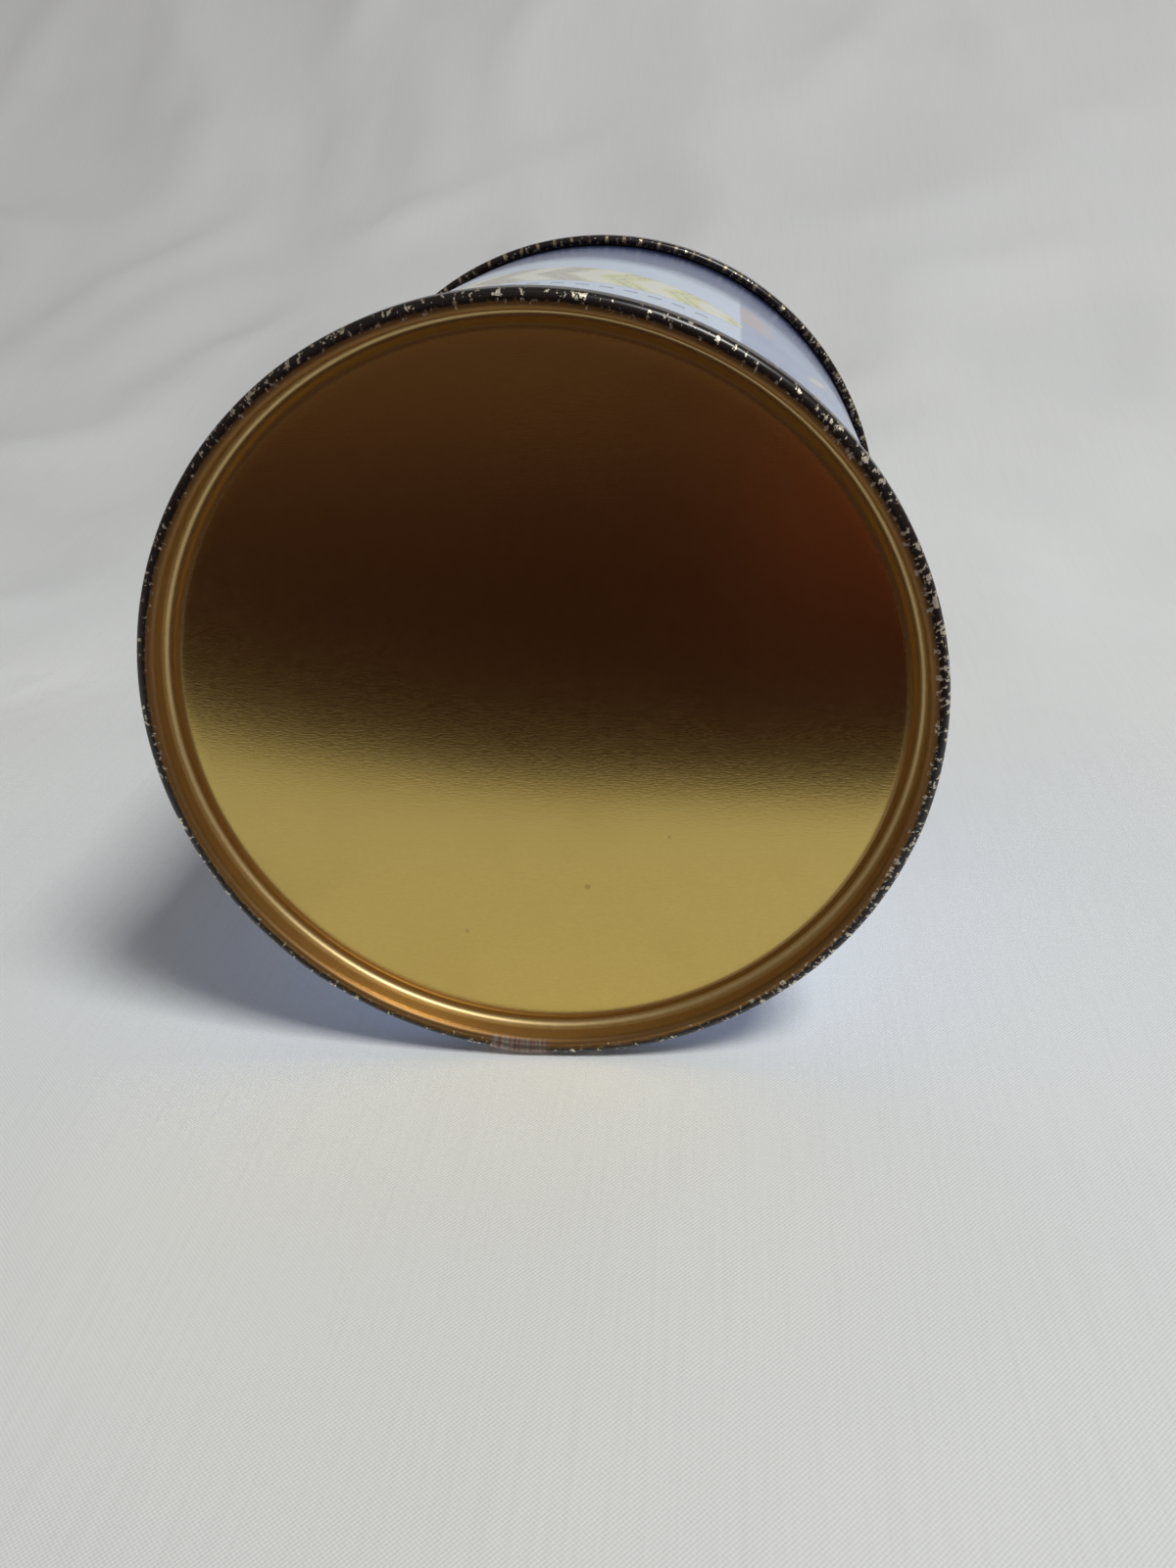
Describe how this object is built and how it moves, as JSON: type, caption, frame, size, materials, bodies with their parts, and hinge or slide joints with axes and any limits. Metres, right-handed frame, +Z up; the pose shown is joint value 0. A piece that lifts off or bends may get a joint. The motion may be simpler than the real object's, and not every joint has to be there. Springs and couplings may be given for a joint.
{
  "type": "talcum powder tin",
  "caption": "Squat cylindrical talcum powder tin with a double-seamed rim at each end, a soldered side seam, a recessed gold-lacquered base and a turning sifter in the top.",
  "frame": {"origin": "centre of the ring that the tin stands on, at the bottom seam's tip", "axes": "+Z up the tin's axis from the closed bottom to the sifter top; the printed front faces -Y and the side seam is at the back, near +Y"},
  "size_m": [0.0762, 0.0764, 0.075],
  "materials": {
    "printed_tinplate": "gloss lithographed tinplate",
    "gold_lacquer": "gold-lacquered tinplate, rim painted black and rubbed",
    "gold_lacquer_dial": "gold-lacquered tinplate, rubbed on its edge",
    "solder": "dull tin-lead solder",
    "sealing_compound": "dried rubber compound",
    "waxed_card": "waxed card",
    "spring_steel": "bright spring steel",
    "bare_tinplate": "bare tinplate",
    "rivet_brass": "worn brass"
  },
  "bodies": {
    "tin": {"body_shell": "printed_tinplate", "side_seam_solder": "solder", "bottom_end": "gold_lacquer", "bottom_seam_compound": "sealing_compound", "top_end": "gold_lacquer", "top_seam_compound": "sealing_compound", "dial_gasket": "waxed_card", "spring_washer": "spring_steel", "backing_washer": "bare_tinplate", "pivot_rivet": "rivet_brass"},
    "dial": {"sifter_dial": "gold_lacquer_dial"}
  },
  "joints": [
    {"name": "dial_turn", "type": "hinge", "parent": "tin", "child": "dial", "pos_m": [0, 0, 0.0735], "axis": [0, 0, 1], "range_deg": [0, 22.5]}
  ]
}
